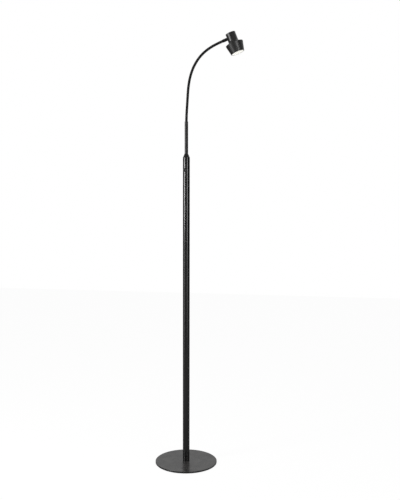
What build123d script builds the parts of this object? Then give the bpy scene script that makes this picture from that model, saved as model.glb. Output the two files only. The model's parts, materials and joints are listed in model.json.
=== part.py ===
from build123d import *
import math
import os

# A reading floor lamp: a round steel base, a two-piece pole with a dimmer button,
# a thin stem, a ribbed bendable neck and a small swivelling head with a flat light.
# Millimetres. The pole stands on the Z axis, the floor is z = 0, and at rest the neck
# bends in the XZ plane towards +X. The back of the lamp is +Y.

# ---------------------------------------------------------------- base
pad_diameter = 216
pad_thickness = 1.5
base_diameter = 232
base_thickness = 6
base_edge_round = 1.5
base_foot_chamfer = 0.75
bolt_diameter = 8
bolt_length = 24
bolt_head_diameter = 15.5
bolt_socket = 5
bolt_socket_depth = 2.6
bolt_head_recess = 0.3

# ---------------------------------------------------------------- pole
pole_diameter = 25.4
pole_wall = 1.2
pole_section_length = 567
foot_insert_length = 26
joint_plug_length = 18
joint_stud_diameter = 16
joint_stud_length = 14
joint_socket_length = 20
cable_way_diameter = 8

# ---------------------------------------------------------------- cap and stem
cap_band_height = 8.5
cap_cone_height = 13
cap_top_diameter = 13.9
cap_edge_round = 0.6
cap_spigot_length = 18
set_screw_diameter = 4
set_screw_socket = 2
set_screw_recess = 0.5
stem_diameter = 12.7
stem_wall = 1.2
stem_visible_height = 113
stem_tail = 24              # of the stem under the top of the pole
ferrule_collar_height = 5
ferrule_chamfer = 1.2
ferrule_plug_length = 22

# ---------------------------------------------------------------- neck
neck_turns = [3.5, 0, 0, 1, 5.5, 7, 8.5, 10, 11, 10.5, 8, 3.5]   # degrees, one per segment
segment_length = 28.3
ribs_per_segment = 10
rib_crest_radius = 5
rib_root_radius = 4.35
rib_root_share = 0.24       # of the pitch, flat at the root of the groove
rib_flank_share = 0.18      # of the pitch, each sloping side of a rib
neck_bore_radius = 1.8
neck_tail_radius = 4
neck_tail_length = 20
ball_radius = 3.2
ball_cut = 2.6              # how far under its centre the ball is cut flat
end_cone_angle = 10         # degrees that each end face falls away, half the free bend
bend_sections = 8           # rings along a bent tube
lead_radius = 1.6
lead_gap = 0.7              # between the leads of two segments, at their pivot

# ---------------------------------------------------------------- head
head_ferrule_diameter = 11.4
head_ferrule_length = 18
head_ferrule_chamfer = 0.5
head_plug_depth = 11
spigot_diameter = 9.9
spigot_overhang = 1.3
washer_thickness = 0.8
nut_across_flats = 14
nut_thickness = 3.5
nut_seat_rim = 1            # of flat left round the nut
spot_face_radius = 6.2
boss_flat = 12.8            # from the head axis to the flat that the nut bears on
collar_radius = 18
collar_wall = 2.5
collar_top = 15.5
collar_bottom = -13.5
collar_sweep = 8            # radius of the hollow curve from collar to shoulder
rim_radius = 32.5
rim_height = -24.5
mouth_radius = 24.5
mouth_height = -59.5
shade_wall = 2.2
shell_edge_round = 0.6
collar_cap_thickness = 2
collar_cap_lip = 1.5
collar_cap_chamfer = 0.25
mouth_bore_radius = 23.4
ledge_width = 0.5
post_circle = 18.5
post_radius = 2.8
post_bottom = -29
post_sink = 0.8             # how far a post reaches into the wall above it
sink_radius = 21.5
sink_thickness = 4
sink_bore = 4
sink_fins = 10
fin_height = 6
fin_thickness = 1.4
fin_inner = 5.2
fin_outer = 14.5
board_thickness = 1.6
board_radius = 21.3
chip_size = 3
chip_thickness = 0.7
chip_rings = [(11, 12), (5.5, 6)]    # circle radius and how many chips stand on it
reflector_wall = 0.9
reflector_throat = 13.8
reflector_mouth = 21.2
reflector_flange = 1
lens_thickness = 2
lens_ring_height = 0.8
lens_ring_width = 1
screw_diameter = 3
screw_head_diameter = 5.5
screw_head_height = 1.8
screw_socket = 2
screw_socket_depth = 0.9
screw_grip = 4.5
screw_count = 3
head_lead_bend = 5

# ---------------------------------------------------------------- dimmer button
switch_gap = 6.65           # from the lower end of the stem to the button housing
switch_angle = -117         # degrees from +X round the pole
bezel_radius = 7
bezel_face = 11.1           # from the pole axis to the flat face of the bezel
bezel_height = 2.4
button_radius = 5.2
button_dome = 1.1
button_proud = 0.3          # of the bezel, before its dome starts
button_flange = 0.75
button_flange_width = 0.7
button_travel = 0.8
button_play = 0.1           # round it and under the bezel
housing_radius = 6.85
housing_depth = 6.5
housing_wall = 0.8
tact_size = 6
tact_height = 2.2
tact_plunger_radius = 1.7
press_gap = 0.1             # left between plunger and button when it is pressed

# ---------------------------------------------------------------- dimmer board
dimmer_length = 60
dimmer_width = 15
dimmer_thickness = 1.6
dimmer_top_gap = 9          # under the button's housing
connector_size = (7, 4.2, 6)
connector_inset = 2         # of the two connectors from the ends of the board
coil_radius = 4
coil_depth = 5
coil_offset = 2.2
coil_place = 17             # of the coil, capacitor and chip, up from the board's lower end
can_radius = 3.2
can_depth = 6.5
can_place = 27
control_chip_size = (5, 1.5, 4)
chip_place = 38

# ---------------------------------------------------------------- inlet
inlet_height = 45
inlet_body_radius = 4
inlet_flange_radius = 5.5
inlet_flange_proud = 1.5
inlet_length = 10
inlet_hole_radius = 2.75
inlet_hole_depth = 8
inlet_pin_radius = 1
inlet_pin_recess = 1
inlet_tag_length = 2.2
inlet_nut_flats = 10
inlet_nut_thickness = 2
inlet_lead_end = 7          # how far the pole lead hangs under the inlet

fit = 0.05                  # radial play of every part that slides into another
slack = 0.2                 # left where parts are close but never bear on each other
margin = 5                  # how far cutting shapes run past what they cut

# ---------------------------------------------------------------- worked out
base_bottom = pad_thickness
base_top = base_bottom + base_thickness
pole_radius = pole_diameter / 2
pole_inside = pole_radius - pole_wall
plug_radius = pole_inside - fit
seam_height = base_top + pole_section_length
pole_top = seam_height + pole_section_length
cap_shoulder = pole_top + cap_band_height
cap_top = cap_shoulder + cap_cone_height
stem_radius = stem_diameter / 2
stem_inside = stem_radius - stem_wall
stem_bottom = pole_top - stem_tail
stem_tube_top = cap_top + stem_visible_height
stem_top = stem_tube_top + ferrule_collar_height
rib_pitch = segment_length / ribs_per_segment
rib_profile = [
    (rib_root_share / 2, rib_root_radius),
    (rib_flank_share + rib_root_share / 2, rib_crest_radius),
    (1 - rib_flank_share - rib_root_share / 2, rib_crest_radius),
    (1 - rib_root_share / 2, rib_root_radius),
]
lead_end = ball_cut + lead_gap
spot_face = math.sqrt(collar_radius ** 2 - spot_face_radius ** 2)
collar_bore = collar_radius - collar_wall
board_top = post_bottom - sink_thickness
board_bottom = board_top - board_thickness
lens_bottom = mouth_height + lens_ring_height
lens_top = lens_bottom + lens_thickness
ledge_height = lens_top + reflector_flange
switch_height = stem_bottom - switch_gap - housing_radius
bezel_back = bezel_face - bezel_height
housing_back = bezel_back - housing_depth
dimmer_back = lead_radius + slack + dimmer_thickness
dimmer_top = switch_height - housing_radius - dimmer_top_gap
dimmer_bottom = dimmer_top - dimmer_length

on_base = (Align.CENTER, Align.CENTER, Align.MIN)


# ---------------------------------------------------------------- shared shapes
def rod(radius, low, high):
    return Pos(0, 0, low) * Cylinder(radius, high - low, align=on_base)


def ring(outer, inner, low, high):
    return rod(outer, low, high) - rod(inner, low, high)


def hex_rod(across_flats, low, high):
    outline = RegularPolygon(across_flats / 2, 6, major_radius=False)
    return Pos(0, 0, low) * extrude(outline, high - low)


def turned(*corners):
    """A solid turned about Z from its corners, each a radius and a height."""
    outline = Polyline(*[(radius, 0, height) for radius, height in corners], close=True)
    return revolve(make_face(outline), Axis.Z)


def on_circle(shape, radius, count, first=0):
    """Copies of a shape, evenly spaced round Z."""
    step = 360 / count
    return [Rot(0, 0, first + step * i) * Pos(radius, 0, 0) * shape for i in range(count)]


def radially(angle, height):
    """A place on the pole axis whose local Z points outwards at this angle."""
    outwards = (math.cos(math.radians(angle)), math.sin(math.radians(angle)), 0)
    return Plane(origin=(0, 0, height), x_dir=(0, 0, 1), z_dir=outwards)


def write(name, *solids):
    shape = solids[0] if len(solids) == 1 else Compound(children=list(solids))
    export_step(shape, os.path.join("parts", name + ".step"))


# ---------------------------------------------------------------- base
def base_pad():
    return rod(pad_diameter / 2, 0, pad_thickness)


def bolt_outline(play):
    """The countersunk bolt, or with some play the hole that it needs."""
    shank = bolt_diameter / 2 + play
    head = bolt_head_diameter / 2 + play
    low = base_bottom + bolt_head_recess
    cone_top = low + head - shank
    tip = low + bolt_length + play
    return turned((0, low), (head, low), (shank, cone_top), (shank, tip), (0, tip))


def base_plate():
    plate = rod(base_diameter / 2, base_bottom, base_top)
    rims = plate.edges().filter_by(GeomType.CIRCLE).sort_by(Axis.Z)
    plate = fillet(rims[-1], base_edge_round)
    plate = chamfer(plate.edges().filter_by(GeomType.CIRCLE).sort_by(Axis.Z)[0], base_foot_chamfer)
    mouth = rod(bolt_head_diameter / 2 + fit, base_bottom, base_bottom + bolt_head_recess)
    return plate - bolt_outline(fit) - mouth


def base_bolt():
    low = base_bottom + bolt_head_recess
    return bolt_outline(0) - hex_rod(bolt_socket, low, low + bolt_socket_depth)


def pole_foot_insert():
    return rod(plug_radius, base_top, base_top + foot_insert_length) - bolt_outline(fit)


# ---------------------------------------------------------------- pole
def pole_tube(low):
    return ring(pole_radius, pole_inside, low, low + pole_section_length)


def pole_lower():
    hole = radially(90, inlet_height) * rod(inlet_body_radius + fit, 0, pole_diameter)
    return pole_tube(base_top) - hole


def pole_upper():
    hole = switch_place() * rod(bezel_radius + fit, 0, pole_diameter)
    return pole_tube(seam_height) - hole


def pole_joint_stud():
    plug = rod(plug_radius, seam_height - joint_plug_length, seam_height)
    stud = rod(joint_stud_diameter / 2, seam_height, seam_height + joint_stud_length)
    way = rod(cable_way_diameter / 2, seam_height - joint_plug_length, seam_height + joint_stud_length)
    return plug + stud - way


def pole_joint_socket():
    inner = joint_stud_diameter / 2 + fit
    return ring(plug_radius, inner, seam_height, seam_height + joint_socket_length)


def set_screw_place():
    return radially(90, pole_top + cap_band_height / 2)


def pole_cap():
    body = turned(
        (stem_radius + fit, pole_top - cap_spigot_length),
        (plug_radius, pole_top - cap_spigot_length),
        (plug_radius, pole_top),
        (pole_radius, pole_top),
        (pole_radius, cap_shoulder),
        (cap_top_diameter / 2, cap_top),
        (stem_radius + fit, cap_top),
    )
    shoulder = body.edges().filter_by(GeomType.CIRCLE).filter_by(
        lambda edge: abs(edge.radius - pole_radius) < fit and edge.center().Z > pole_top + fit
    )
    body = fillet(shoulder, cap_edge_round)
    return body - set_screw_place() * rod(set_screw_diameter / 2 + fit, stem_radius, pole_diameter)


def cap_set_screw():
    low = stem_radius + fit
    high = pole_radius - set_screw_recess
    screw = rod(set_screw_diameter / 2, low, high) - hex_rod(set_screw_socket, (low + high) / 2, high)
    return set_screw_place() * screw


def neck_stem():
    return ring(stem_radius, stem_inside, stem_bottom, stem_tube_top)


def stem_ferrule():
    bore = neck_tail_radius + fit
    return turned(
        (bore, stem_tube_top - ferrule_plug_length),
        (stem_inside - fit, stem_tube_top - ferrule_plug_length),
        (stem_inside - fit, stem_tube_top),
        (stem_radius, stem_tube_top),
        (stem_radius, stem_top - ferrule_chamfer),
        (stem_radius - ferrule_chamfer, stem_top),
        (bore, stem_top),
    )


# ---------------------------------------------------------------- neck
def bend_point(start, turn, distance):
    """Where a segment's centre line is after some distance: x, z and lean from vertical.

    The line is an arc along the segment and runs straight on past both its ends.
    """
    x, z, lean = start
    bent = min(max(distance, 0), segment_length)
    new_lean = lean + turn * bent / segment_length
    old, new = math.radians(lean), math.radians(new_lean)
    if turn == 0:
        x += bent * math.sin(new)
        z += bent * math.cos(new)
    else:
        radius = segment_length / math.radians(turn)
        x += radius * (math.cos(old) - math.cos(new))
        z += radius * (math.sin(new) - math.sin(old))
    straight = distance - bent
    return x + straight * math.sin(new), z + straight * math.cos(new), new_lean


def neck_path():
    """The pivots of the neck, from the stem to the head ferrule."""
    points = [(0, stem_top, 0)]
    for turn in neck_turns:
        points.append(bend_point(points[-1], turn, segment_length))
    return points


pivots = neck_path()


def neck_frame(point):
    """The frame at a point of the neck: local Z along the neck, local X to the inside of the bend."""
    x, z, lean = point
    sine, cosine = math.sin(math.radians(lean)), math.cos(math.radians(lean))
    return Plane(origin=(x, 0, z), x_dir=(cosine, 0, -sine), z_dir=(sine, 0, cosine))


def segment_end(turn):
    """The far pivot of a segment, in the segment's own frame."""
    return neck_frame(bend_point((0, 0, 0), turn, segment_length))


def neck_ring(turn, distance, radius):
    x, z, lean = bend_point((0, 0, 0), turn, distance)
    along = (math.sin(math.radians(lean)), 0, math.cos(math.radians(lean)))
    return Plane(origin=(x, 0, z), x_dir=(0, 1, 0), z_dir=along) * Circle(radius)


def tube_through(turn, radius, low, high):
    """A bar of one radius that follows a segment's bend between two distances."""
    first, last = max(low, 0), min(high, segment_length)
    steps = [first + (last - first) * i / (bend_sections - 1) for i in range(bend_sections)]
    steps = [low] * (low < first) + steps + [high] * (high > last)
    return loft([neck_ring(turn, step, radius) for step in steps], ruled=True)


def ribbed_bar(turn, plain_start, plain_end):
    """The ribs of a segment, each a root, two crests and a root, with plain ends where it is held."""
    rings = []
    if plain_start:
        rings += [neck_ring(turn, distance, neck_tail_radius) for distance in (-plain_start, 0)]
    for rib in range(ribs_per_segment):
        for share, radius in rib_profile:
            rings.append(neck_ring(turn, (rib + share) * rib_pitch, radius))
    if plain_end:
        ends = (segment_length, segment_length + plain_end)
        rings += [neck_ring(turn, distance, neck_tail_radius) for distance in ends]
    return loft(rings, ruled=True)


def end_cutter(upwards):
    """Cuts a segment's end to a shallow cone, so that it can bend at its pivot."""
    wide = rib_crest_radius + margin
    fall = wide * math.tan(math.radians(end_cone_angle))
    return turned((0, 0), (wide, -upwards * fall), (wide, upwards * margin), (0, upwards * margin))


def neck_segment(index):
    turn = neck_turns[index]
    first, last = index == 0, index == len(neck_turns) - 1
    bar = ribbed_bar(turn, neck_tail_length * first, head_plug_depth * last)
    bore_start, bore_end = -ball_radius, segment_length - ball_cut
    if first:
        bore_start = -neck_tail_length - margin
    else:
        ball = Sphere(ball_radius) - rod(ball_radius, -ball_radius - margin, -ball_cut)
        bar = bar - end_cutter(-1) + ball
    if last:
        bore_end = segment_length + head_plug_depth + margin
    else:
        bar = bar - segment_end(turn) * end_cutter(1) - segment_end(turn) * Sphere(ball_radius + slack)
    bar = bar - tube_through(turn, neck_bore_radius, bore_start, bore_end)
    return neck_frame(pivots[index]) * bar


def neck_lead(index):
    low, high = -ball_cut, segment_length - lead_end
    if index == 0:
        low = dimmer_top - connector_inset - stem_top
    if index == len(neck_turns) - 1:
        high = segment_length + head_ferrule_length + washer_thickness + spigot_length()
    return neck_frame(pivots[index]) * tube_through(neck_turns[index], lead_radius, low, high)


# ---------------------------------------------------------------- head
def spigot_length():
    """From the ferrule's washer through the collar wall and the nut."""
    return 2 * fit + spot_face - boss_flat + nut_thickness + spigot_overhang


def head_place():
    """The head's own frame: z up its axis, x away from the neck, on the neck's end axis."""
    x, z, lean = pivots[-1]
    slope = math.radians(lean)
    away = head_ferrule_length + washer_thickness + fit + spot_face
    origin = (x + away * math.sin(slope), 0, z + away * math.cos(slope))
    return Plane(origin=origin, x_dir=(math.sin(slope), 0, math.cos(slope)),
                 z_dir=(-math.cos(slope), 0, math.sin(slope)))


def from_collar(distance):
    """A place on the neck's end axis, this far short of the head axis, local Z to the head."""
    return head_place() * Plane(origin=(-distance, 0, 0), x_dir=(0, 1, 0), z_dir=(1, 0, 0)).location


def head_ferrule():
    bore = neck_tail_radius + fit
    length = head_ferrule_length
    outer = head_ferrule_diameter / 2
    spigot_end = length + washer_thickness + spigot_length()
    body = turned(
        (bore, 0), (outer - head_ferrule_chamfer, 0), (outer, head_ferrule_chamfer), (outer, length),
        (spigot_diameter / 2, length),
        (spigot_diameter / 2, spigot_end), (neck_bore_radius, spigot_end),
        (neck_bore_radius, head_plug_depth + fit), (bore, head_plug_depth + fit),
    )
    return neck_frame(pivots[-1]) * body


def swivel_washer():
    washer = ring(spot_face_radius - slack, spigot_diameter / 2 + fit, 0, washer_thickness)
    return neck_frame(pivots[-1]) * Pos(0, 0, head_ferrule_length) * washer


def neck_nut():
    nut = hex_rod(nut_across_flats, 0, nut_thickness) - rod(spigot_diameter / 2 + fit, 0, nut_thickness)
    return from_collar(boss_flat - fit) * nut


def shade_radius(height):
    """The outer radius of the shade's cone at a height in the head's frame."""
    slope = (rim_radius - mouth_radius) / (rim_height - mouth_height)
    return mouth_radius + slope * (height - mouth_height)


def shell_outside():
    """The collar, its hollow curve, the shoulder and the cone, as one outline."""
    curve_end = (collar_radius + collar_sweep, collar_bottom - collar_sweep)
    curve = CenterArc((collar_radius + collar_sweep, collar_bottom, 0), collar_sweep, 180, 90)
    upper = Polyline((0, collar_top), (collar_radius, collar_top), (collar_radius, collar_bottom))
    lower = Polyline(curve_end, (rim_radius, rim_height), (mouth_radius, mouth_height), (0, mouth_height))
    axis = Line((0, mouth_height), (0, collar_top))
    outline = Plane.XZ * make_face([upper, curve, lower, axis])
    return revolve(outline, Axis.Z)


def shell_inside():
    ceiling = rim_height - shade_wall
    top_bore = collar_top + margin
    return turned(
        (0, mouth_height - margin), (mouth_bore_radius, mouth_height - margin),
        (mouth_bore_radius, ledge_height), (mouth_bore_radius - ledge_width, ledge_height),
        (shade_radius(ceiling) - shade_wall, ceiling),
        (collar_radius + collar_sweep - shade_wall, collar_bottom - collar_sweep - shade_wall),
        (collar_bore, collar_bottom - collar_wall),
        (collar_bore, collar_top - collar_cap_thickness),
        (collar_radius - collar_cap_lip, collar_top - collar_cap_thickness),
        (collar_radius - collar_cap_lip, top_bore), (0, top_bore),
    )


def post_room():
    """Where the screw posts may be: up to a little way into the wall of the hollow curve."""
    return turned(
        (0, post_bottom), (collar_radius + collar_sweep - shade_wall, post_bottom),
        (collar_radius + collar_sweep - shade_wall, collar_bottom - collar_sweep - shade_wall + post_sink),
        (collar_bore, collar_bottom - collar_wall + post_sink),
        (0, collar_bottom - collar_wall + post_sink),
    )


def head_shell():
    outside = shell_outside()
    edges = outside.edges().filter_by(GeomType.CIRCLE)
    sharp = [
        edge for edge in edges
        if min(abs(edge.radius - rim_radius), abs(edge.radius - mouth_radius)) < fit
    ]
    shell = fillet(sharp, shell_edge_round) - shell_inside()
    span = nut_across_flats + 2 * nut_seat_rim
    outwards = (Align.MAX, Align.CENTER, Align.CENTER)
    boss = Pos(-boss_flat, 0, 0) * Box(collar_radius, span, span, align=outwards)
    shell = shell + (boss & rod(collar_radius - collar_wall / 2, -span, span))
    posts = on_circle(rod(post_radius, post_bottom, collar_bottom), post_circle, screw_count)
    room = post_room()
    for post in posts:
        shell = shell + (post & room)
    screw_way = rod(screw_diameter / 2 + fit, post_bottom, post_bottom + screw_grip)
    for hole in on_circle(screw_way, post_circle, screw_count):
        shell = shell - hole
    axis = Plane(origin=(0, 0, 0), x_dir=(0, 1, 0), z_dir=(-1, 0, 0))
    shell = shell - axis * rod(spot_face_radius, spot_face, collar_radius + margin)
    return head_place() * (shell - axis * rod(spigot_diameter / 2 + fit, 0, collar_radius + margin))


def collar_cap():
    radius = collar_radius - collar_cap_lip - fit
    cap = rod(radius, collar_top - collar_cap_thickness, collar_top)
    cap = chamfer(cap.edges().filter_by(GeomType.CIRCLE).sort_by(Axis.Z)[-1], collar_cap_chamfer)
    return head_place() * cap


def heat_sink():
    body = ring(sink_radius, sink_bore, board_top, post_bottom)
    outwards = (Align.MIN, Align.CENTER, Align.MIN)
    fin_block = Box(fin_outer - fin_inner, fin_thickness, fin_height + fit, align=outwards)
    for fin in on_circle(Pos(fin_inner, 0, post_bottom - fit) * fin_block, 0, sink_fins):
        body = body + fin
    for hole in on_circle(rod(screw_diameter / 2 + fit, board_top, post_bottom), post_circle, screw_count):
        body = body - hole
    return head_place() * body


def led_board():
    body = rod(board_radius, board_bottom, board_top)
    for hole in on_circle(rod(screw_diameter / 2 + fit, board_bottom, board_top), post_circle, screw_count):
        body = body - hole
    return head_place() * body


def led_chips():
    chip = Pos(0, 0, board_bottom - chip_thickness / 2) * Box(chip_size, chip_size, chip_thickness)
    chips = []
    for radius, count in chip_rings:
        chips += on_circle(chip, radius, count)
    return [head_place() * each for each in chips]


def reflector():
    flange = mouth_bore_radius - fit
    return head_place() * turned(
        (reflector_throat, board_bottom), (reflector_throat + reflector_wall, board_bottom),
        (reflector_mouth, ledge_height), (flange, ledge_height), (flange, lens_top),
        (reflector_mouth - reflector_wall, lens_top),
    )


def diffuser_lens():
    return head_place() * rod(mouth_bore_radius - fit, lens_bottom, lens_top)


def lens_ring():
    outer = mouth_bore_radius - fit
    return head_place() * ring(outer, outer - lens_ring_width, mouth_height, lens_bottom)


def head_screws():
    head = rod(screw_head_diameter / 2, board_bottom - screw_head_height, board_bottom)
    shank = rod(screw_diameter / 2, board_bottom, post_bottom + screw_grip - slack)
    low = board_bottom - screw_head_height
    socket = hex_rod(screw_socket, low, low + screw_socket_depth)
    screw = head + shank - socket
    return [head_place() * each for each in on_circle(screw, post_circle, screw_count)]


def head_lead():
    start = -boss_flat + fit + nut_thickness + spigot_overhang + slack
    route = FilletPolyline((start, 0, 0), (0, 0, 0), (0, 0, board_top), radius=head_lead_bend)
    section = Plane(origin=(start, 0, 0), x_dir=(0, 1, 0), z_dir=(1, 0, 0)) * Circle(lead_radius)
    return head_place() * sweep(section, route)


# ---------------------------------------------------------------- dimmer button
def switch_place():
    return radially(switch_angle, switch_height)


def switch_bezel():
    bezel = ring(bezel_radius, button_radius + button_play, bezel_back, bezel_face)
    return switch_place() * bezel


def switch_button():
    base = bezel_back - button_play
    shoulder = bezel_face + button_proud
    crown = shoulder + button_dome
    body = rod(button_radius, base - button_flange, shoulder)
    flange = rod(button_radius + button_flange_width, base - button_flange, base)
    dome_radius = (button_radius ** 2 + button_dome ** 2) / (2 * button_dome)
    ball = Pos(0, 0, crown - dome_radius) * Sphere(dome_radius)
    dome = ball & rod(button_radius, shoulder, crown + margin)
    return switch_place() * (body + flange + dome)


def switch_housing():
    cup = rod(housing_radius, housing_back, bezel_back)
    room = rod(housing_radius - housing_wall, housing_back + housing_wall, bezel_back)
    return switch_place() * (cup - room)


def tact_switch():
    low = housing_back + housing_wall
    body = Pos(0, 0, low) * Box(tact_size, tact_size, tact_height, align=on_base)
    button_back = bezel_back - button_play - button_flange
    plunger = rod(tact_plunger_radius, low + tact_height, button_back - button_travel - press_gap)
    return switch_place() * (body + plunger)


# ---------------------------------------------------------------- dimmer board
def dimmer_carrier():
    half = rod(plug_radius, dimmer_bottom, dimmer_top)
    front = Box(pole_diameter, pole_diameter, dimmer_length + 2 * margin,
                align=(Align.CENTER, Align.MAX, Align.MIN))
    return half - Pos(0, dimmer_back, dimmer_bottom - margin) * front


def dimmer_board():
    board = Box(dimmer_width, dimmer_thickness, dimmer_length, align=(Align.CENTER, Align.MAX, Align.MIN))
    return Pos(0, dimmer_back, dimmer_bottom) * board


def dimmer_parts():
    """A connector at each end of the board, a coil, a capacitor and a control chip."""
    face = dimmer_back - dimmer_thickness
    block = (Align.CENTER, Align.MAX, Align.MIN)
    connector = Box(*connector_size, align=block)
    low = Pos(0, face, dimmer_bottom + connector_inset) * connector
    high = Pos(0, face, dimmer_top - connector_inset - connector_size[2]) * connector
    upright = Rot(90, 0, 0)
    coil = upright * Cylinder(coil_radius, coil_depth, align=on_base)
    can = upright * Cylinder(can_radius, can_depth, align=on_base)
    chip = Pos(0, face, dimmer_bottom + chip_place) * Box(*control_chip_size, align=block)
    coil = Pos(-coil_offset, face, dimmer_bottom + coil_place) * coil
    can = Pos(coil_offset, face, dimmer_bottom + can_place) * can
    return [low, coil, can, chip, high]


# ---------------------------------------------------------------- inlet and pole lead
def inlet_place():
    return radially(90, inlet_height)


def inlet_jack():
    front = pole_radius + inlet_flange_proud
    back = front - inlet_length - inlet_flange_proud
    body = rod(inlet_body_radius, back, front)
    flange = rod(inlet_flange_radius, 0, front)
    saddle = inlet_place() * flange - rod(pole_radius, 0, 2 * inlet_height)
    hole = ring(inlet_hole_radius, inlet_pin_radius + fit, front - inlet_hole_depth, front)
    pin_way = rod(inlet_pin_radius + fit, back, front)
    return inlet_place() * body + saddle - inlet_place() * hole - inlet_place() * pin_way


def inlet_contact():
    front = pole_radius + inlet_flange_proud
    back = front - inlet_length - inlet_flange_proud
    pin = rod(inlet_pin_radius, back - inlet_tag_length, front - inlet_pin_recess)
    return inlet_place() * pin


def inlet_nut():
    corner = inlet_nut_flats / math.sqrt(3)
    face = math.sqrt(pole_inside ** 2 - corner ** 2) - fit
    nut = hex_rod(inlet_nut_flats, face - inlet_nut_thickness, face)
    return inlet_place() * (nut - rod(inlet_body_radius + fit, 0, face))


def pole_lead():
    low = inlet_height - inlet_lead_end
    tag_end = pole_radius - inlet_length - inlet_tag_length
    place = Pos(0, tag_end - lead_radius - fit, 0)
    return place * rod(lead_radius, low, dimmer_bottom + connector_inset)


# ---------------------------------------------------------------- all pieces
os.makedirs("parts", exist_ok=True)

pieces = [
    base_pad, base_plate, base_bolt, pole_foot_insert,
    pole_lower, pole_upper, pole_joint_stud, pole_joint_socket, pole_cap, cap_set_screw,
    neck_stem, stem_ferrule, head_ferrule, swivel_washer, neck_nut,
    head_shell, collar_cap, heat_sink, led_board, reflector, diffuser_lens, lens_ring, head_lead,
    switch_bezel, switch_button, switch_housing, tact_switch, dimmer_carrier, dimmer_board,
    inlet_jack, inlet_contact, inlet_nut, pole_lead,
]
for piece in pieces:
    write(piece.__name__, piece())
for group in [led_chips, head_screws, dimmer_parts]:
    write(group.__name__, *group())
for index in range(len(neck_turns)):
    write(f"neck_segment_{index + 1:02d}", neck_segment(index))
    write(f"neck_lead_{index + 1:02d}", neck_lead(index))
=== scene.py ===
import json
import math
import bpy
from mathutils import Matrix, Vector


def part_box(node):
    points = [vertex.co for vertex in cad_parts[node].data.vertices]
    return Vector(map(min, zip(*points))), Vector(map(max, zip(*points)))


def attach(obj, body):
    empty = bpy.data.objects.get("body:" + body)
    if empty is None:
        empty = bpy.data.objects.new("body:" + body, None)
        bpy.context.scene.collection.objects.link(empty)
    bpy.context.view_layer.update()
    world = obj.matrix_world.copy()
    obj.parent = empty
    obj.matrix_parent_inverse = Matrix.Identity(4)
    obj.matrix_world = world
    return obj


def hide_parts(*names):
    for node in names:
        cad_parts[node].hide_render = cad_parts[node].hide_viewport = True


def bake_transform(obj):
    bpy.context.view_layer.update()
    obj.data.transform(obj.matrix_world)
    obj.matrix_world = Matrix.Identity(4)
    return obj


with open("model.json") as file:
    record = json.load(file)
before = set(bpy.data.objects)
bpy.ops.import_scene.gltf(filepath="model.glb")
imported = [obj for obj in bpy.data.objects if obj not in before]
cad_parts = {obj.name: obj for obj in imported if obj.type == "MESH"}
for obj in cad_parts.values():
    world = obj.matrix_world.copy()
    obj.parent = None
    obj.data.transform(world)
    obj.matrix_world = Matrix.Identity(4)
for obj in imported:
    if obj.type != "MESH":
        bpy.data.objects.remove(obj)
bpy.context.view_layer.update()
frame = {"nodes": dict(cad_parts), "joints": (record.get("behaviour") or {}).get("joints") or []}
joints = {joint["name"]: joint for joint in frame["joints"]}


# camera, set to the photograph's angle; metres and degrees
shot = {
    "lens": 51.84,
    "turn": 10.0,          # round the lamp, towards +X
    "tilt": 4.656,         # looking down
    "roll": 0.13,
    "distance": 2.663,
    "sideStep": 0.0508,
    "height": 1.026,
    "clipStart": 0.05,
    "clipEnd": 60.0,
}


def makeCamera(plan):
    camera = bpy.data.objects.new("lampCamera", bpy.data.cameras.new("lampCamera"))
    bpy.context.scene.collection.objects.link(camera)
    camera.data.lens = plan["lens"]
    camera.data.clip_start = plan["clipStart"]
    camera.data.clip_end = plan["clipEnd"]
    turn = Matrix.Rotation(math.radians(plan["turn"]), 4, "Z")
    nod = Matrix.Rotation(math.radians(90 - plan["tilt"]), 4, "X")
    roll = Matrix.Rotation(math.radians(plan["roll"]), 4, "Z")
    place = Matrix.Translation((plan["sideStep"], -plan["distance"], plan["height"]))
    camera.matrix_world = turn @ place @ nod @ roll
    bpy.context.scene.camera = camera


makeCamera(shot)
print("camera placed")


# small helpers for node trees
def addNode(tree, kind, inputs=None, **settings):
    node = tree.nodes.new(kind)
    count = len(tree.nodes)
    node.location = (200 * (count % 8), -260 * (count // 8))
    for name, value in settings.items():
        setattr(node, name, value)
    for name, value in (inputs or {}).items():   # a link from another socket, or a constant
        if isinstance(value, bpy.types.NodeSocket):
            tree.links.new(value, node.inputs[name])
        else:
            node.inputs[name].default_value = value
    return node


def calc(tree, operation, *values, clamp=False):
    node = addNode(tree, "ShaderNodeMath", dict(enumerate(values)), operation=operation, use_clamp=clamp)
    return node.outputs[0]


def vectorCalc(tree, operation, *values):
    node = addNode(tree, "ShaderNodeVectorMath", dict(enumerate(values)), operation=operation)
    return node.outputs[1 if operation in ("DOT_PRODUCT", "LENGTH") else 0]


def scaled(tree, vector, factor):
    node = addNode(tree, "ShaderNodeVectorMath", {0: vector, "Scale": factor}, operation="SCALE")
    return node.outputs[0]


def spread(tree, value, low, high, newLow=0.0, newHigh=1.0):   # a clamped Map Range with soft ends
    node = addNode(tree, "ShaderNodeMapRange",
                   {0: value, 1: low, 2: high, 3: newLow, 4: newHigh}, interpolation_type="SMOOTHSTEP")
    return node.outputs[0]


def perSize(tree, size):   # the scale of a pattern from the size of its marks
    return calc(tree, "DIVIDE", 1.0, size)


def noise(tree, place, scale, detail, roughness=0.5):
    node = addNode(tree, "ShaderNodeTexNoise", {
        "Vector": place, "Scale": scale, "Detail": detail, "Roughness": roughness})
    return node.outputs[0]


def cells(tree, place, scale):   # the distance to the nearest of many strewn points
    return addNode(tree, "ShaderNodeTexVoronoi", {"Vector": place, "Scale": scale}).outputs["Distance"]


def reachOf(tree, first, second):   # how far out a point lies, from two square directions
    squares = calc(tree, "ADD", calc(tree, "POWER", first, 2.0), calc(tree, "POWER", second, 2.0))
    return calc(tree, "SQRT", squares)


def objectPlace(tree):
    return addNode(tree, "ShaderNodeTexCoord").outputs["Object"]


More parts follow.
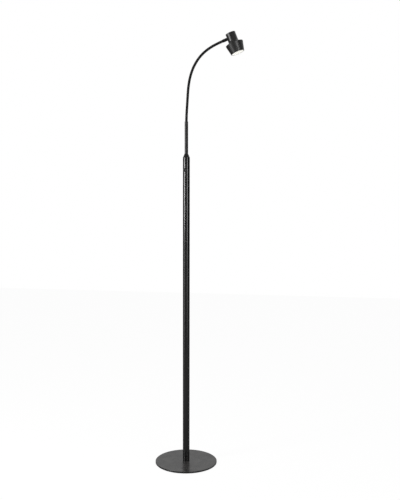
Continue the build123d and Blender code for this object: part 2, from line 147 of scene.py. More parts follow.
def newGroup(name, kind, inputs, outputs):
    tree = bpy.data.node_groups.new(name, kind)
    for label, (socketKind, value) in inputs.items():
        socket = tree.interface.new_socket(name=label, in_out="INPUT", socket_type="NodeSocket" + socketKind)
        if value is not None:
            socket.default_value = value
    for label, socketKind in outputs.items():
        tree.interface.new_socket(name=label, in_out="OUTPUT", socket_type="NodeSocket" + socketKind)
    source = addNode(tree, "NodeGroupInput")
    result = addNode(tree, "NodeGroupOutput")
    return tree, source.outputs, result


def send(tree, result, **values):
    for label, socket in values.items():
        tree.links.new(socket, result.inputs[label])


# shared looks: sprayed or moulded grain, rubbed edges, dust, lathe rings
grainMix = {
    "grainShare": 0.45,        # of the height, the rest is peel
    "peelShare": 0.55,
    "cloudCut": (0.3, 0.7),    # between which noise values a cloud fades in
    "fleckCut": (0.12, 0.02),
}


def makeSurfaceGrain():
    tree, given, result = newGroup("surfaceGrain", "ShaderNodeTree", {
        "Grain Size": ("Float", 0.0006),
        "Peel Size": ("Float", 0.003),
        "Cloud Size": ("Float", 0.08),
    }, {"Height": "Float", "Cloud": "Float", "Fleck": "Float"})
    place = objectPlace(tree)
    perGrain = perSize(tree, given["Grain Size"])
    grain = noise(tree, place, perGrain, 2.0, 0.55)
    peel = noise(tree, place, perSize(tree, given["Peel Size"]), 1.0, 0.4)
    cloud = noise(tree, place, perSize(tree, given["Cloud Size"]), 4.0, 0.6)
    fleck = cells(tree, place, perGrain)
    fine = calc(tree, "MULTIPLY", grain, grainMix["grainShare"])
    height = calc(tree, "ADD", fine, calc(tree, "MULTIPLY", peel, grainMix["peelShare"]))
    send(tree, result, Height=height, Cloud=spread(tree, cloud, *grainMix["cloudCut"]),
         Fleck=spread(tree, fleck, *grainMix["fleckCut"]))
    return tree


rubbing = {
    "bendCut": (0.015, 0.16),   # how far the rounded normal leaves the true one
    "breakCut": (0.38, 0.62),   # the noise that breaks the rubbed line up
    "samples": 4,
}


def makeRubbedEdge():
    tree, given, result = newGroup("rubbedEdge", "ShaderNodeTree", {
        "Edge Width": ("Float", 0.0008),
        "Break Size": ("Float", 0.006),
        "Wear": ("Float", 0.5),
    }, {"Mask": "Float"})
    rounded = addNode(tree, "ShaderNodeBevel", {"Radius": given["Edge Width"]}, samples=rubbing["samples"])
    sharp = addNode(tree, "ShaderNodeNewGeometry").outputs["Normal"]
    bend = calc(tree, "SUBTRACT", 1.0, vectorCalc(tree, "DOT_PRODUCT", rounded.outputs[0], sharp))
    breaks = noise(tree, objectPlace(tree), perSize(tree, given["Break Size"]), 3.0)
    mask = calc(tree, "MULTIPLY", spread(tree, bend, *rubbing["bendCut"]),
                spread(tree, breaks, *rubbing["breakCut"]))
    send(tree, result, Mask=calc(tree, "MULTIPLY", mask, given["Wear"], clamp=True))
    return tree


dustFall = {
    "filmCut": (0.35, 0.75),
    "speckCut": (0.16, 0.05),
    "facingCut": (0.6, 0.95),   # only on what faces up
    "filmShare": 0.55,
    "speckShare": 0.6,
}


def makeSettledDust():
    tree, given, result = newGroup("settledDust", "ShaderNodeTree", {
        "Amount": ("Float", 0.2),
        "Patch Size": ("Float", 0.03),
        "Speck Size": ("Float", 0.0012),
    }, {"Mask": "Float"})
    coords = addNode(tree, "ShaderNodeTexCoord")
    facing = addNode(tree, "ShaderNodeSeparateXYZ", {0: coords.outputs["Normal"]}).outputs[2]
    patch = noise(tree, coords.outputs["Object"], perSize(tree, given["Patch Size"]), 3.0)
    speck = cells(tree, coords.outputs["Object"], perSize(tree, given["Speck Size"]))
    film = spread(tree, patch, *dustFall["filmCut"])
    dots = calc(tree, "MULTIPLY", spread(tree, speck, *dustFall["speckCut"]), film)
    both = calc(tree, "ADD", calc(tree, "MULTIPLY", film, dustFall["filmShare"]),
                calc(tree, "MULTIPLY", dots, dustFall["speckShare"]))
    mask = calc(tree, "MULTIPLY", both, spread(tree, facing, *dustFall["facingCut"]))
    send(tree, result, Mask=calc(tree, "MULTIPLY", mask, given["Amount"], clamp=True))
    return tree


turning = {
    "cut": (0.3, 0.7),
    "cloudScale": 160.0,
}


def makeLatheRings():
    tree, given, result = newGroup("latheRings", "ShaderNodeTree", {
        "Place": ("Vector", None),
        "Ring Size": ("Float", 0.0003),
    }, {"Rings": "Float", "Cloud": "Float"})
    parts = addNode(tree, "ShaderNodeSeparateXYZ", {0: given["Place"]}).outputs
    reach = reachOf(tree, parts[0], parts[1])
    flat = addNode(tree, "ShaderNodeCombineXYZ", {0: reach, 1: parts[2], 2: 0.0}).outputs[0]
    rings = noise(tree, flat, perSize(tree, given["Ring Size"]), 3.0, 0.7)
    cloud = noise(tree, given["Place"], turning["cloudScale"], 3.0)
    send(tree, result, Rings=spread(tree, rings, *turning["cut"]),
         Cloud=spread(tree, cloud, *turning["cut"]))
    return tree


surfaceGrain = makeSurfaceGrain()
rubbedEdge = makeRubbedEdge()
settledDust = makeSettledDust()
latheRings = makeLatheRings()


def useGroup(tree, group, values):
    return addNode(tree, "ShaderNodeGroup", values, node_tree=group).outputs


def mixColour(tree, factor, first, second):
    node = addNode(tree, "ShaderNodeMix", {0: factor, 6: first, 7: second}, data_type="RGBA")
    return node.outputs[2]


def shade(level, warm=0.0):   # a grey, a little warmer or cooler
    return (level * (1 + warm), level, level * (1 - warm), 1)


def bumpFrom(tree, height, depth, strength=1.0):
    node = addNode(tree, "ShaderNodeBump", {"Strength": strength, "Distance": depth, "Height": height})
    return node.outputs[0]


def blankMaterial(name):
    material = bpy.data.materials.new(name)
    material.use_nodes = True
    tree = material.node_tree
    return material, tree, tree.nodes["Principled BSDF"]


def dress(tree, principled, colour, rough, normal):
    tree.links.new(colour, principled.inputs["Base Color"])
    tree.links.new(rough, principled.inputs["Roughness"])
    tree.links.new(normal, principled.inputs["Normal"])


# sprayed and oxidised metal: base, pole, cap, stem, head, neck, set screw
paintLooks = {
    "basePaint": {"deep": 0.008, "bright": 0.011, "gloss": (0.22, 0.28), "grain": 0.0007, "peel": 0.0032,
                  "depth": 0.000035, "edge": 0.0011, "wear": 0.22, "dust": 0.12, "specular": 0.5},
    "polePaint": {"deep": 0.005, "bright": 0.008, "gloss": (0.17, 0.22), "grain": 0.0005, "peel": 0.0026,
                  "depth": 0.000016, "edge": 0.0005, "wear": 0.30, "dust": 0.05, "specular": 0.5},
    "capPaint": {"deep": 0.004, "bright": 0.006, "gloss": (0.22, 0.27), "grain": 0.0005, "peel": 0.0026,
                 "depth": 0.000018, "edge": 0.0005, "wear": 0.30, "dust": 0.08, "specular": 0.4},
    "stemPaint": {"deep": 0.004, "bright": 0.006, "gloss": (0.30, 0.36), "grain": 0.0005, "peel": 0.0022,
                  "depth": 0.000016, "edge": 0.0004, "wear": 0.35, "dust": 0.05, "specular": 0.32},
    "headPaint": {"deep": 0.007, "bright": 0.010, "gloss": (0.33, 0.39), "grain": 0.0005, "peel": 0.0024,
                  "depth": 0.000020, "edge": 0.0006, "wear": 0.25, "dust": 0.14, "specular": 0.5},
    "neckBlack": {"deep": 0.003, "bright": 0.005, "gloss": (0.50, 0.62), "grain": 0.0004, "peel": 0.0018,
                  "depth": 0.000020, "edge": 0.0003, "wear": 0.16, "dust": 0.04, "specular": 0.22},
    "oxideSteel": {"deep": 0.016, "bright": 0.030, "gloss": (0.36, 0.50), "grain": 0.0004, "peel": 0.0020,
                   "depth": 0.000020, "edge": 0.0004, "wear": 0.55, "dust": 0.0, "specular": 0.5},
}
paintMarks = {
    "warmth": 0.02,
    "rubbed": shade(0.16, 0.03),
    "dusty": shade(0.32, 0.06),
    "dustDulls": 0.35,         # what full dust adds to the roughness
    "edgeShines": 0.12,        # what a rubbed edge takes off it
}


def makePaint(name, look):
    material, tree, principled = blankMaterial(name)
    grain = useGroup(tree, surfaceGrain, {"Grain Size": look["grain"], "Peel Size": look["peel"]})
    edge = useGroup(tree, rubbedEdge, {"Edge Width": look["edge"], "Wear": look["wear"]})
    dust = useGroup(tree, settledDust, {"Amount": look["dust"]})
    bright = shade(look["bright"], paintMarks["warmth"])
    coat = mixColour(tree, grain["Cloud"], shade(look["deep"]), bright)
    coat = mixColour(tree, edge["Mask"], coat, paintMarks["rubbed"])
    coat = mixColour(tree, dust["Mask"], coat, paintMarks["dusty"])
    dulled = calc(tree, "MULTIPLY", dust["Mask"], paintMarks["dustDulls"])
    polished = calc(tree, "MULTIPLY", edge["Mask"], paintMarks["edgeShines"])
    rough = spread(tree, grain["Cloud"], 0.0, 1.0, *look["gloss"])
    rough = calc(tree, "ADD", rough, dulled, clamp=True)
    rough = calc(tree, "SUBTRACT", rough, polished, clamp=True)
    dress(tree, principled, coat, rough, bumpFrom(tree, grain["Height"], look["depth"]))
    principled.inputs["Specular IOR Level"].default_value = look["specular"]
    return material


# bare metal with turning marks
metalLooks = {
    "zincSteel": {"colour": (0.55, 0.56, 0.58), "dull": (0.36, 0.37, 0.39), "gloss": (0.26, 0.45),
                  "ring": 0.00035},
    "bareAluminium": {"colour": (0.72, 0.73, 0.74), "dull": (0.55, 0.56, 0.58), "gloss": (0.28, 0.45),
                      "ring": 0.00025},
    "contactBrass": {"colour": (0.78, 0.58, 0.27), "dull": (0.58, 0.40, 0.17), "gloss": (0.18, 0.35),
                     "ring": 0.0002},
}
metalMarks = {
    "edge": 0.0003, "wear": 0.6, "breakSize": 0.003,
    "edgeGlint": 1.2,          # a rubbed edge's colour against the plain one
    "depth": 0.00002, "strength": 0.6,
}


def makeMetal(name, look):
    material, tree, principled = blankMaterial(name)
    marks = useGroup(tree, latheRings, {"Place": objectPlace(tree), "Ring Size": look["ring"]})
    edge = useGroup(tree, rubbedEdge, {
        "Edge Width": metalMarks["edge"], "Wear": metalMarks["wear"], "Break Size": metalMarks["breakSize"]})
    glint = tuple(min(1, part * metalMarks["edgeGlint"]) for part in look["colour"])
    colour = mixColour(tree, marks["Cloud"], (*look["dull"], 1), (*look["colour"], 1))
    colour = mixColour(tree, edge["Mask"], colour, (*glint, 1))
    rough = spread(tree, marks["Rings"], 0.0, 1.0, *look["gloss"])
    normal = bumpFrom(tree, marks["Rings"], metalMarks["depth"], metalMarks["strength"])
    dress(tree, principled, colour, rough, normal)
    principled.inputs["Metallic"].default_value = 1.0
    return material


# moulded plastic, rubber and cable
plasticLooks = {
    "mouldedBlack": {"deep": shade(0.007), "bright": shade(0.011), "gloss": (0.42, 0.52), "grain": 0.00035,
                     "peel": 0.0012, "depth": 0.00003, "edge": 0.0003, "wear": 0.12, "specular": 0.3},
    "buttonBlack": {"deep": shade(0.004), "bright": shade(0.007), "gloss": (0.46, 0.56), "grain": 0.0003,
                    "peel": 0.0010, "depth": 0.00003, "edge": 0.0003, "wear": 0.10, "specular": 0.22},
    "padRubber": {"deep": shade(0.018), "bright": shade(0.030), "gloss": (0.62, 0.78), "grain": 0.0005,
                  "peel": 0.0016, "depth": 0.00008, "edge": 0.0004, "wear": 0.20, "specular": 0.5},
    "leadSheath": {"deep": shade(0.018), "bright": shade(0.026), "gloss": (0.42, 0.54), "grain": 0.0003,
                   "peel": 0.0015, "depth": 0.00003, "edge": 0.0003, "wear": 0.05, "specular": 0.5},
    "whiteSatin": {"deep": shade(0.76, 0.01), "bright": shade(0.84, 0.01), "gloss": (0.30, 0.42),
                   "grain": 0.0004, "peel": 0.0015, "depth": 0.00001, "edge": 0.0003, "wear": 0.0,
                   "specular": 0.5},
    "chipPhosphor": {"deep": (0.86, 0.66, 0.12, 1), "bright": (0.93, 0.76, 0.22, 1), "gloss": (0.35, 0.5),
                     "grain": 0.00015, "peel": 0.0006, "depth": 0.00002, "edge": 0.0002, "wear": 0.0,
                     "specular": 0.5},
    "componentBlack": {"deep": shade(0.018), "bright": shade(0.030), "gloss": (0.45, 0.6), "grain": 0.0002,
                       "peel": 0.0009, "depth": 0.00002, "edge": 0.0002, "wear": 0.25, "specular": 0.5},
    "boardGreen": {"deep": (0.010, 0.075, 0.030, 1), "bright": (0.020, 0.130, 0.050, 1),
                   "gloss": (0.28, 0.4), "grain": 0.0004, "peel": 0.0011, "depth": 0.00003,
                   "edge": 0.0003, "wear": 0.1, "specular": 0.5},
}
plasticMarks = {
    "cloudSize": 0.03,
    "breakSize": 0.002,
    "fleckShare": 0.25,
    "rubbed": shade(0.22),
}


def makePlastic(name, look):
    material, tree, principled = blankMaterial(name)
    grain = useGroup(tree, surfaceGrain, {
        "Grain Size": look["grain"], "Peel Size": look["peel"], "Cloud Size": plasticMarks["cloudSize"]})
    edge = useGroup(tree, rubbedEdge, {
        "Edge Width": look["edge"], "Wear": look["wear"], "Break Size": plasticMarks["breakSize"]})
    flecks = calc(tree, "MULTIPLY", grain["Fleck"], plasticMarks["fleckShare"])
    colour = mixColour(tree, grain["Cloud"], look["deep"], look["bright"])
    colour = mixColour(tree, flecks, colour, look["bright"])
    colour = mixColour(tree, edge["Mask"], colour, plasticMarks["rubbed"])
    rough = spread(tree, grain["Cloud"], 0.0, 1.0, *look["gloss"])
    dress(tree, principled, colour, rough, bumpFrom(tree, grain["Height"], look["depth"]))
    principled.inputs["Specular IOR Level"].default_value = look["specular"]
    return material


# the diffuser: a frosted disc with two rings of chips glowing through it
opalLook = {
    "deep": (0.86, 0.85, 0.79, 1), "bright": (0.92, 0.91, 0.86, 1), "gloss": (0.42, 0.52),
    "grain": 0.0003, "peel": 0.0012, "cloud": 0.02, "depth": 0.00003,
    "glow": 0.80, "between": 0.88,                 # strength, and its share between the chips
    "rings": ((0.011, 12), (0.0055, 6)),           # reach and number of the chips
    "spot": 0.0042,                                # how far a chip's light spreads inwards and outwards
    "edge": (0.0212, 0.0234), "edgeShare": 0.6,    # where the glow fades at the rim, and to what
}


def chipPattern(tree, reach, angle, look):
    chips = 0.0
    for radius, count in look["rings"]:
        aside = calc(tree, "ABSOLUTE", calc(tree, "SUBTRACT", reach, radius))
        beside = spread(tree, aside, look["spot"], 0.0)
        wave = calc(tree, "COSINE", calc(tree, "MULTIPLY", angle, float(count)))
        beat = calc(tree, "MULTIPLY_ADD", wave, 0.5, 0.5)
        chips = calc(tree, "ADD", chips, calc(tree, "MULTIPLY", beside, beat))
    return chips


def makeOpal(name, look):
    material, tree, principled = blankMaterial(name)
    grain = useGroup(tree, surfaceGrain, {
        "Grain Size": look["grain"], "Peel Size": look["peel"], "Cloud Size": look["cloud"]})
    low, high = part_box("diffuser_lens")
    along = tuple(joints["head_swivel"]["axis"])
    across = (0.0, 1.0, 0.0)
    place = vectorCalc(tree, "SUBTRACT", objectPlace(tree), tuple((low + high) / 2))
    first = vectorCalc(tree, "DOT_PRODUCT", place, along)
    second = vectorCalc(tree, "DOT_PRODUCT", place, across)
    angle = calc(tree, "ARCTAN2", second, first)
    reach = reachOf(tree, first, second)
    level = spread(tree, chipPattern(tree, reach, angle, look), 0.0, 1.0, look["between"], 1.0)
    level = calc(tree, "MULTIPLY", level, spread(tree, reach, *look["edge"], 1.0, look["edgeShare"]))
    colour = mixColour(tree, grain["Cloud"], look["deep"], look["bright"])
    lit = mixColour(tree, level, (0, 0, 0, 1), colour)
    rough = spread(tree, grain["Cloud"], 0.0, 1.0, *look["gloss"])
    dress(tree, principled, colour, rough, bumpFrom(tree, grain["Height"], look["depth"]))
    tree.links.new(lit, principled.inputs["Emission Color"])
    principled.inputs["Emission Strength"].default_value = look["glow"]
    return material


finishes = {name: makePaint(name, look) for name, look in paintLooks.items()}
finishes.update({name: makeMetal(name, look) for name, look in metalLooks.items()})
finishes.update({name: makePlastic(name, look) for name, look in plasticLooks.items()})
finishes["opalDiffuser"] = makeOpal("opalDiffuser", opalLook)

slotFinish = {
    "rubber": "padRubber", "base_paint": "basePaint", "pole_paint": "polePaint", "cap_paint": "capPaint",
    "stem_paint": "stemPaint", "neck_black": "neckBlack", "zinc_steel": "zincSteel",
    "black_steel": "oxideSteel", "head_paint": "headPaint", "bare_aluminium": "bareAluminium",
    "chip_yellow": "chipPhosphor", "white_plastic": "whiteSatin", "opal_plastic": "opalDiffuser",
    "black_plastic": "mouldedBlack", "button_plastic": "buttonBlack", "board_green": "boardGreen",
    "component_black": "componentBlack", "contact_brass": "contactBrass", "lead_sheath": "leadSheath",
}
for node in frame["nodes"].values():
    for place in node.material_slots:
        place.material = finishes[slotFinish[place.material.name]]
print("finishes made:", len(finishes))


# the neck, wound of round wire on a core, along the joints of the frame
neck = {
    "pitch": 0.00283,
    "wireRadius": 0.00138,
    "coilRadius": 0.00362,
    "coreRadius": 0.00435,
    "stepsPerTurn": 28,
    "wireSides": 10,
    "coreSides": 32,
    "coreRings": 15,         # along each piece of the core
    "railSteps": 48,         # between two pivots of the smooth centre line
    "railPoints": 700,       # along the whole of it, evenly spaced
    "headToNeck": 0.03575,   # from the head's origin back to the end of the neck
}


def finished(tree, geometry, finish):
    real = addNode(tree, "GeometryNodeRealizeInstances", {"Geometry": geometry}).outputs[0]
    return addNode(tree, "GeometryNodeSetMaterial", {"Geometry": real, "Material": finish}).outputs[0]


def neckRail(tree, path):
    rail = addNode(tree, "GeometryNodeMeshToCurve", {"Mesh": path}).outputs[0]
    rail = addNode(tree, "GeometryNodeCurveSplineType",
                   {"Curve": rail}, spline_type="CATMULL_ROM").outputs[0]
    rail = addNode(tree, "GeometryNodeSetSplineResolution",
                   {"Geometry": rail, "Resolution": neck["railSteps"]}).outputs[0]
    return addNode(tree, "GeometryNodeResampleCurve",
                   {"Curve": rail, "Count": neck["railPoints"]}).outputs[0]


def tubeAlong(tree, curve, sides, radius):
    outline = addNode(tree, "GeometryNodeCurvePrimitiveCircle", {"Resolution": sides, "Radius": radius})
    tube = addNode(tree, "GeometryNodeCurveToMesh",
                   {"Curve": curve, "Profile Curve": outline.outputs[0], "Fill Caps": True})
    return tube.outputs[0]


def neckWire(tree, given, rail, low, run):
    turns = calc(tree, "DIVIDE", run, given["Pitch"])
    steps = calc(tree, "ROUND", calc(tree, "MULTIPLY", turns, given["Steps Per Turn"]))
    count = addNode(tree, "FunctionNodeFloatToInt", {0: calc(tree, "ADD", steps, 1.0)}).outputs[0]
    wire = addNode(tree, "GeometryNodeCurvePrimitiveLine").outputs[0]
    wire = addNode(tree, "GeometryNodeResampleCurve", {"Curve": wire, "Count": count}).outputs[0]
    index = addNode(tree, "GeometryNodeInputIndex").outputs[0]
    along = calc(tree, "ADD", low, calc(tree, "MULTIPLY", run, calc(tree, "DIVIDE", index, steps)))
    spot = addNode(tree, "GeometryNodeSampleCurve", {"Curves": rail, "Length": along}, mode="LENGTH")
    side = (0.0, 1.0, 0.0)
    across = vectorCalc(tree, "CROSS_PRODUCT", spot.outputs["Tangent"], side)
    angle = calc(tree, "MULTIPLY", calc(tree, "DIVIDE", along, given["Pitch"]), math.tau)
    outward = calc(tree, "MULTIPLY", calc(tree, "COSINE", angle), given["Coil Radius"])
    sideways = calc(tree, "MULTIPLY", calc(tree, "SINE", angle), given["Coil Radius"])
    offset = vectorCalc(tree, "ADD", scaled(tree, across, outward), scaled(tree, side, sideways))
    centre = vectorCalc(tree, "ADD", spot.outputs["Position"], offset)
    wire = addNode(tree, "GeometryNodeSetPosition", {"Geometry": wire, "Position": centre}).outputs[0]
    return tubeAlong(tree, wire, given["Wire Sides"], given["Wire Radius"])


def neckCore(tree, given, rail, low, high):
    core = addNode(tree, "GeometryNodeTrimCurve", mode="LENGTH")
    tree.links.new(rail, core.inputs["Curve"])
    # the node has a pair of these for shares and, last, a pair for lengths
    starts = [socket for socket in core.inputs if socket.name == "Start"]
    ends = [socket for socket in core.inputs if socket.name == "End"]
    tree.links.new(low, starts[-1])
    tree.links.new(high, ends[-1])
    core = addNode(tree, "GeometryNodeResampleCurve", {"Curve": core.outputs[0], "Count": neck["coreRings"]})
    return tubeAlong(tree, core.outputs[0], neck["coreSides"], given["Core Radius"])


def makeNeckWinding():
    tree, given, result = newGroup("neckWinding", "GeometryNodeTree", {
        "Path": ("Geometry", None),
        "Start Share": ("Float", 0.0),
        "End Share": ("Float", 1.0),
        "Pitch": ("Float", 0.003),
        "Wire Radius": ("Float", 0.001),
        "Coil Radius": ("Float", 0.003),
        "Core Radius": ("Float", 0.004),
        "Steps Per Turn": ("Int", 24),
        "Wire Sides": ("Int", 8),
        "Finish": ("Material", None),
    }, {"Winding": "Geometry"})
    rail = neckRail(tree, given["Path"])
    whole = addNode(tree, "GeometryNodeCurveLength", {"Curve": rail}).outputs[0]
    low = calc(tree, "MULTIPLY", whole, given["Start Share"])
    high = calc(tree, "MULTIPLY", whole, given["End Share"])
    run = calc(tree, "SUBTRACT", high, low)
    wire = neckWire(tree, given, rail, low, run)
    core = neckCore(tree, given, rail, low, high)
    both = addNode(tree, "GeometryNodeJoinGeometry")
    tree.links.new(wire, both.inputs[0])
    tree.links.new(core, both.inputs[0])
    smooth = addNode(tree, "GeometryNodeSetShadeSmooth", {"Geometry": both.outputs[0]}).outputs[0]
    send(tree, result, Winding=finished(tree, smooth, given["Finish"]))
    return tree


def runTree(group, name, guide, values):
    # a modifier on a guide mesh, then the result as a plain mesh with no modifier left
    piece = bpy.data.objects.new(name, guide)
    bpy.context.scene.collection.objects.link(piece)
    modifier = piece.modifiers.new(group.name, "NODES")
    modifier.node_group = group
    sockets = {item.name: item.identifier for item in group.interface.items_tree
               if item.item_type == "SOCKET" and item.in_out == "INPUT"}
    for label, value in values.items():
        modifier[sockets[label]] = value
    evaluated = piece.evaluated_get(bpy.context.evaluated_depsgraph_get())
    solid = bpy.data.meshes.new_from_object(evaluated)
    piece.modifiers.remove(modifier)
    piece.data = solid
    solid.name = name
    return piece


def neckPath():
    foot = Vector((0, 0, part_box("stem_ferrule")[1].z))
    swivel = joints["head_swivel"]
    tip = Vector(swivel["pos_m"]) - Vector(swivel["axis"]) * neck["headToNeck"]
    pivots = [Vector(joint["pos_m"]) for name, joint in joints.items() if name.startswith("neck_")]
    return [foot] + pivots + [tip]


def buildNeck():
    points = neckPath()
    guide = bpy.data.meshes.new("neckGuide")
    guide.from_pydata(points, [(first, first + 1) for first in range(len(points) - 1)], [])
    winding = makeNeckWinding()
    segments = len(points) - 1
    bodies = ["stand"] + [f"neck_{number:02d}" for number in range(2, segments + 1)]
    # cut in the middle of each segment, so that every piece but the two ends spans one pivot
    cuts = [0] + [number + 0.5 for number in range(segments)] + [segments]
    for number, (low, high) in enumerate(zip(cuts, cuts[1:])):
        piece = runTree(winding, f"neckWinding_{number + 1:02d}", guide, {
            "Start Share": low / segments, "End Share": high / segments, "Pitch": neck["pitch"],
            "Wire Radius": neck["wireRadius"], "Coil Radius": neck["coilRadius"],
            "Core Radius": neck["coreRadius"], "Steps Per Turn": neck["stepsPerTurn"],
            "Wire Sides": neck["wireSides"], "Finish": finishes["neckBlack"],
        })
        if number == 0:
            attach(piece, bodies[0])
        elif number == segments:
            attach(piece, bodies[-1])
        else:
            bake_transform(piece)
        covered = [f"neck_segment_{index:02d}" for index in (number, number + 1) if 1 <= index <= segments]
        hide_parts(*covered)
    bpy.data.meshes.remove(guide)
    print("neck wound:", segments + 1, "pieces")


buildNeck()


# the rubber pad under the plate, with a tread of rings pressed into it
tread = {
    "ribPitch": 0.0045,
    "grooveWidth": 0.0013,
    "grooveDepth": 0.0006,
    "grooveFloor": 0.45,     # share of the groove's width that is flat at the bottom
    "stepsPerRib": 9,
    "plainRim": 0.004,       # left flat at the edge and in the middle
    "sides": 128,
    "weld": 0.000005,        # closes the seam and the two poles of the grid
}


def padGroove(tree, given, reach):
    beat = calc(tree, "FRACT", calc(tree, "DIVIDE", reach, given["Rib Pitch"]))
    offBeat = calc(tree, "ABSOLUTE", calc(tree, "SUBTRACT", beat, 0.5))
    aside = calc(tree, "MULTIPLY", offBeat, given["Rib Pitch"])
    half = calc(tree, "MULTIPLY", given["Groove Width"], 0.5)
    groove = spread(tree, aside, half, calc(tree, "MULTIPLY", half, tread["grooveFloor"]))
    inner = calc(tree, "GREATER_THAN", reach, given["Plain Rim"])
    rimStart = calc(tree, "SUBTRACT", given["Pad Radius"], given["Plain Rim"])
    outer = calc(tree, "LESS_THAN", reach, rimStart)
    groove = calc(tree, "MULTIPLY", groove, calc(tree, "MULTIPLY", inner, outer))
    return calc(tree, "MULTIPLY", groove, given["Groove Depth"])


def makePadTread():
    tree, given, result = newGroup("padTread", "GeometryNodeTree", {
        "Guide": ("Geometry", None),
        "Pad Radius": ("Float", 0.1),
        "Thickness": ("Float", 0.0015),
        "Rib Pitch": ("Float", 0.004),
        "Groove Width": ("Float", 0.001),
        "Groove Depth": ("Float", 0.0005),
        "Plain Rim": ("Float", 0.004),
        "Steps": ("Int", 200),
        "Sides": ("Int", 128),
        "Finish": ("Material", None),
    }, {"Pad": "Geometry"})
    # a grid whose rows run out along the tread, up the edge and back over the top
    rows = calc(tree, "ADD", given["Steps"], 3.0)
    columns = calc(tree, "ADD", given["Sides"], 1.0)
    rowCount = addNode(tree, "FunctionNodeFloatToInt", {0: rows}).outputs[0]
    columnCount = addNode(tree, "FunctionNodeFloatToInt", {0: columns}).outputs[0]
    sheet = addNode(tree, "GeometryNodeMeshGrid",
                    {"Vertices X": rowCount, "Vertices Y": columnCount}).outputs[0]
    index = addNode(tree, "GeometryNodeInputIndex").outputs[0]
    row = calc(tree, "FLOOR", calc(tree, "DIVIDE", calc(tree, "ADD", index, 0.5), columns))
    column = calc(tree, "SUBTRACT", index, calc(tree, "MULTIPLY", row, columns))
    angle = calc(tree, "MULTIPLY", calc(tree, "DIVIDE", column, given["Sides"]), math.tau)
    share = calc(tree, "MINIMUM", calc(tree, "DIVIDE", row, given["Steps"]), 1.0)
    # the last two rows lie on top: its edge, then its middle
    isTop = calc(tree, "GREATER_THAN", row, calc(tree, "ADD", given["Steps"], 0.5))
    isLast = calc(tree, "GREATER_THAN", row, calc(tree, "ADD", given["Steps"], 1.5))
    reach = calc(tree, "MULTIPLY", share, given["Pad Radius"])
    reach = calc(tree, "MULTIPLY", reach, calc(tree, "SUBTRACT", 1.0, isLast))
    under = padGroove(tree, given, reach)
    height = calc(tree, "ADD", calc(tree, "MULTIPLY", under, calc(tree, "SUBTRACT", 1.0, isTop)),
                  calc(tree, "MULTIPLY", isTop, given["Thickness"]))
    spot = addNode(tree, "ShaderNodeCombineXYZ", {
        0: calc(tree, "MULTIPLY", reach, calc(tree, "COSINE", angle)),
        1: calc(tree, "MULTIPLY", reach, calc(tree, "SINE", angle)),
        2: height,
    }).outputs[0]
    pad = addNode(tree, "GeometryNodeSetPosition", {"Geometry": sheet, "Position": spot}).outputs[0]
    pad = addNode(tree, "GeometryNodeMergeByDistance",
                  {"Geometry": pad, "Distance": tread["weld"]}).outputs[0]
    pad = addNode(tree, "GeometryNodeSetShadeSmooth", {"Geometry": pad, "Shade Smooth": False}).outputs[0]
    send(tree, result, Pad=finished(tree, pad, given["Finish"]))
    return tree


def buildPad():
    low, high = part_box("base_pad")
    guide = bpy.data.meshes.new("padGuide")
    steps = round(high.x / tread["ribPitch"] * tread["stepsPerRib"])
    pad = runTree(makePadTread(), "padTread", guide, {
        "Pad Radius": high.x, "Thickness": high.z - low.z, "Rib Pitch": tread["ribPitch"],
        "Groove Width": tread["grooveWidth"], "Groove Depth": tread["grooveDepth"],
        "Plain Rim": tread["plainRim"], "Steps": steps, "Sides": tread["sides"],
        "Finish": finishes["padRubber"],
    })
    bpy.data.meshes.remove(guide)
    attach(pad, "stand")
    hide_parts("base_pad")
    print("pad pressed:", len(pad.data.polygons), "faces")


buildPad()


# floor, world and lamps
studio = {
    "floorSize": 9.0,
    "floorLevel": -0.0002,    # a hair under the pad, so the two sheets never flicker
    "floorRough": 0.9,
    "floorPaper": (0.97, 0.97, 0.97, 1),   # as the camera sees it
    "floorBounce": (0.30, 0.30, 0.30, 1),  # as the lamp sees it
    "floorShow": 0.94,        # share of plain white that the camera sees on the floor
    "skyLow": 0.02,           # the world at and under the horizon
    "skyHigh": 1.0,           # the world over the backdrop
    "skyRise": (0.08, 0.48),  # sines of the elevations between which it brightens
    "skyFront": 0.30,         # share of that light in front of the lamp
    "skyTurn": (-0.35, 0.45),
    "frontGlow": 0.40,        # soft grey behind the camera, seen in the middle of the tubes
    "frontTurn": (0.0, 0.6),
    "frontDrop": (0.02, 0.14),  # how far under the horizon that grey starts
}
# upright strips of light, each aimed at the pole; degrees from +X, metres and watts
strips = {
    "keyStrip": {"angle": -140.0, "distance": 2.0, "low": 0.82, "high": 1.95, "width": 0.45, "watts": 38.0},
    "keyFoot": {"angle": -140.0, "distance": 2.0, "low": 0.05, "high": 0.82, "width": 0.45, "watts": 3.4},
    "fillStrip": {"angle": -46.0, "distance": 2.2, "low": 0.70, "high": 1.95, "width": 0.60, "watts": 18.5},
    "fillFoot": {"angle": -46.0, "distance": 2.2, "low": 0.05, "high": 0.70, "width": 0.60, "watts": 2.6},
}


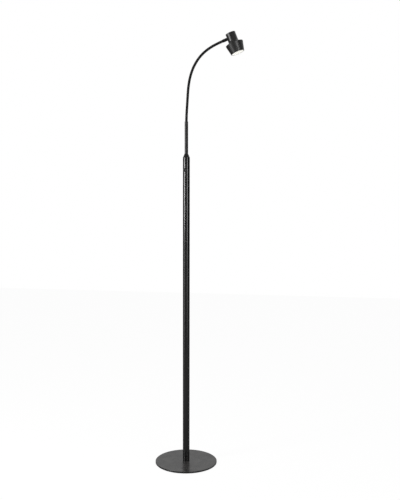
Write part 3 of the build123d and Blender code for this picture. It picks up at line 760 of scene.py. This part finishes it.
def makeFloor():
    half = studio["floorSize"] / 2
    level = studio["floorLevel"]
    corners = [(-half, -half, level), (half, -half, level), (half, half, level), (-half, half, level)]
    sheet = bpy.data.meshes.new("studioFloor")
    sheet.from_pydata(corners, [], [(0, 1, 2, 3)])
    floor = bpy.data.objects.new("studioFloor", sheet)
    bpy.context.scene.collection.objects.link(floor)
    material, tree, principled = blankMaterial("floorPaper")
    principled.inputs["Roughness"].default_value = studio["floorRough"]
    principled.inputs["Specular IOR Level"].default_value = 0.0
    cameraRay = addNode(tree, "ShaderNodeLightPath").outputs["Is Camera Ray"]
    paper = mixColour(tree, cameraRay, studio["floorBounce"], studio["floorPaper"])
    tree.links.new(paper, principled.inputs["Base Color"])
    white = addNode(tree, "ShaderNodeEmission", {"Strength": 1.0})
    seen = calc(tree, "MULTIPLY", cameraRay, studio["floorShow"])
    mix = addNode(tree, "ShaderNodeMixShader", {0: seen, 1: principled.outputs[0], 2: white.outputs[0]})
    tree.links.new(mix.outputs[0], tree.nodes["Material Output"].inputs["Surface"])
    sheet.materials.append(material)


def makeWorld():
    world = bpy.data.worlds.new("studioWorld")
    bpy.context.scene.world = world
    world.use_nodes = True
    tree = world.node_tree
    background = tree.nodes["Background"]
    path = addNode(tree, "ShaderNodeLightPath")
    seen = calc(tree, "MAXIMUM", path.outputs["Is Camera Ray"], path.outputs["Is Transmission Ray"])
    toward = addNode(tree, "ShaderNodeTexCoord").outputs["Generated"]
    parts = addNode(tree, "ShaderNodeSeparateXYZ", {0: toward}).outputs
    rise = spread(tree, parts[2], *studio["skyRise"])
    behind = spread(tree, parts[1], *studio["skyTurn"], studio["skyFront"], 1.0)
    sky = calc(tree, "MULTIPLY", calc(tree, "MULTIPLY", rise, behind), studio["skyHigh"])
    front = spread(tree, calc(tree, "MULTIPLY", parts[1], -1.0), *studio["frontTurn"])
    down = calc(tree, "MULTIPLY", parts[2], -1.0)
    under = spread(tree, down, *studio["frontDrop"], 0.0, studio["frontGlow"])
    sky = calc(tree, "ADD", sky, calc(tree, "MULTIPLY", front, under))
    sky = calc(tree, "ADD", sky, studio["skyLow"])
    strength = addNode(tree, "ShaderNodeMix", {0: seen, 2: sky, 3: 1.0}, data_type="FLOAT").outputs[0]
    tree.links.new(strength, background.inputs["Strength"])
    background.inputs["Color"].default_value = (1, 1, 1, 1)


def makeStrip(name, plan):
    light = bpy.data.lights.new(name, "AREA")
    light.shape = "RECTANGLE"
    light.size = plan["width"]
    light.size_y = plan["high"] - plan["low"]
    light.energy = plan["watts"]
    strip = bpy.data.objects.new(name, light)
    bpy.context.scene.collection.objects.link(strip)
    angle = math.radians(plan["angle"])
    middle = (plan["high"] + plan["low"]) / 2
    strip.location = (plan["distance"] * math.cos(angle), plan["distance"] * math.sin(angle), middle)
    aim = Vector((-math.cos(angle), -math.sin(angle), 0))
    strip.rotation_mode = "QUATERNION"
    strip.rotation_quaternion = aim.to_track_quat("-Z", "Y")


makeFloor()
makeWorld()
for name, plan in strips.items():
    makeStrip(name, plan)
bpy.context.scene.view_settings.view_transform = "Standard"
print("studio lit")
